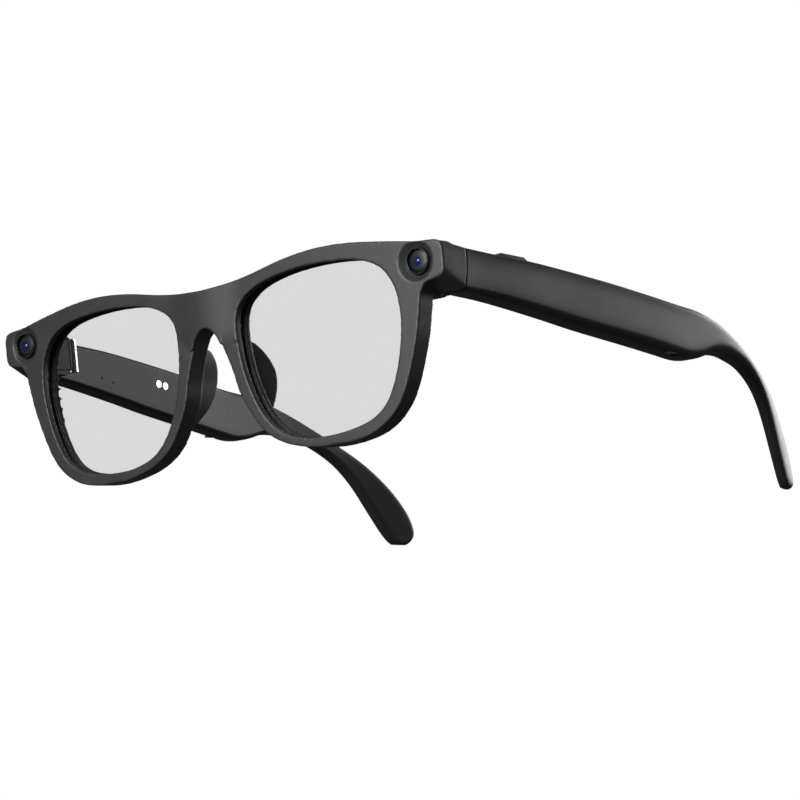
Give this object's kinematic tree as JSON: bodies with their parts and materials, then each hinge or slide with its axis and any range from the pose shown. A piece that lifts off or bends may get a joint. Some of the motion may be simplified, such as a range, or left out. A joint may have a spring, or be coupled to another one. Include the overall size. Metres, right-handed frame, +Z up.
{
  "type": "smart glasses",
  "caption": "Camera smart glasses: curved front with clear lenses, a camera in each end piece, and folding temples that hold a battery, a speaker and a capture button.",
  "frame": {"origin": "centre of the bounding box seen from above, on the surface the open glasses stand on", "axes": "+X towards the wearer's left, +Y from the front to the temple tips, +Z up, with the glasses open and standing on the rim bottoms and the temple tips"},
  "size_m": [0.1648, 0.1685, 0.0491],
  "materials": {
    "frame_plastic": "fine matte moulded, soft-touch black",
    "temple_plastic": "fine matte moulded, glossier towards the tips",
    "pad_plastic": "smooth satin black",
    "lens_glass": "clear polished, coated",
    "camera_glass": "dark polished window",
    "bezel_plastic": "satin black ring",
    "barrel_black": "anodised black",
    "hinge_steel": "polished stainless",
    "screw_steel": "plated",
    "contact_metal": "plated, polished",
    "board_green": "printed circuit",
    "flex_amber": "polyimide",
    "battery_foil": "foil pouch",
    "speaker_black": "moulded",
    "grille_mesh": "woven mesh",
    "mic_can": "pressed can",
    "core_steel": "drawn strip",
    "switch_brass": "dome switch",
    "button_plastic": "satin black"
  },
  "bodies": {
    "front": {"front_frame": "frame_plastic", "brow_cover": "frame_plastic", "front_flex": "flex_amber", "left_lens": "lens_glass", "right_lens": "lens_glass", "left_nose_pad": "pad_plastic", "right_nose_pad": "pad_plastic", "left_camera_bezel": "bezel_plastic", "right_camera_bezel": "bezel_plastic", "left_camera_window": "camera_glass", "right_camera_window": "camera_glass", "left_camera_barrel": "barrel_black", "right_camera_barrel": "barrel_black", "left_camera_module": "board_green", "right_camera_module": "board_green", "left_endpiece_cover": "frame_plastic", "right_endpiece_cover": "frame_plastic", "left_front_hinge": "hinge_steel", "right_front_hinge": "hinge_steel", "left_hinge_pin": "hinge_steel", "right_hinge_pin": "hinge_steel", "left_endpiece_screws": "screw_steel", "right_endpiece_screws": "screw_steel"},
    "left_temple": {"left_temple_shell": "temple_plastic", "left_temple_cover": "temple_plastic", "left_temple_hinge": "hinge_steel", "left_hinge_screws": "screw_steel", "left_board": "board_green", "left_battery": "battery_foil", "left_speaker": "speaker_black", "left_speaker_grille": "grille_mesh", "left_temple_core": "core_steel", "left_microphone": "mic_can", "button_switch": "switch_brass"},
    "capture_button": {"capture_button": "button_plastic"},
    "right_temple": {"right_temple_shell": "temple_plastic", "right_temple_cover": "temple_plastic", "right_temple_hinge": "hinge_steel", "right_hinge_screws": "screw_steel", "right_board": "board_green", "right_battery": "battery_foil", "right_speaker": "speaker_black", "right_speaker_grille": "grille_mesh", "right_temple_core": "core_steel", "right_microphones": "mic_can", "charging_contacts": "contact_metal"}
  },
  "joints": [
    {"name": "left_temple_fold", "type": "hinge", "parent": "front", "child": "left_temple", "pos_m": [0.063, -0.06679, 0.03911], "axis": [0, -0.1002, 0.995], "range_deg": [0, 96]},
    {"name": "right_temple_fold", "type": "hinge", "parent": "front", "child": "right_temple", "pos_m": [-0.063, -0.06679, 0.03911], "axis": [0, 0.1002, -0.995], "range_deg": [0, 83]},
    {"name": "capture_press", "type": "slide", "parent": "left_temple", "child": "capture_button", "axis": [0, 0, -1], "range_m": [0, 0.0003], "stiffness_N_per_m": 400, "springref_m": -0.0005}
  ]
}
